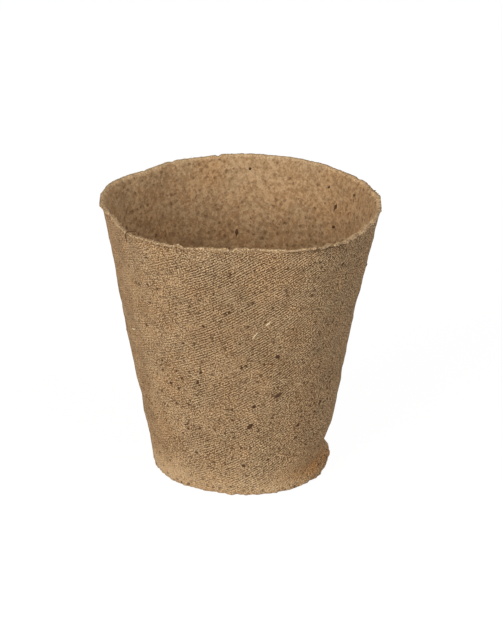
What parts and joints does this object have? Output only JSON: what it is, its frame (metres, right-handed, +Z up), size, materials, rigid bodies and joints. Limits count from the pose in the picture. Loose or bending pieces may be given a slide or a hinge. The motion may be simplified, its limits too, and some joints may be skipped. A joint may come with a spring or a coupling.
{
  "type": "peat pot",
  "caption": "Small round tapered plant pot of pressed peat and wood fibre, with a rough uneven rim, a pressed-in foot and a drain hole.",
  "frame": {"origin": "on the ground under the middle of the foot", "axes": "+Z up through the rim; the front, as pictured, faces -Y, so +X is at the right of that view"},
  "size_m": [0.0787, 0.077, 0.08],
  "materials": {
    "peat_pulp": "matte pressed fibre with a woven wire imprint",
    "bark": "matte dark bark",
    "dark_wood": "matte dark wood",
    "straw": "pale dry straw"
  },
  "bodies": {
    "root": {"pot": "peat_pulp", "bark_crumbs": "bark", "wood_slivers": "dark_wood", "straw_bits": "straw", "rim_fibre": "straw"}
  },
  "joints": []
}
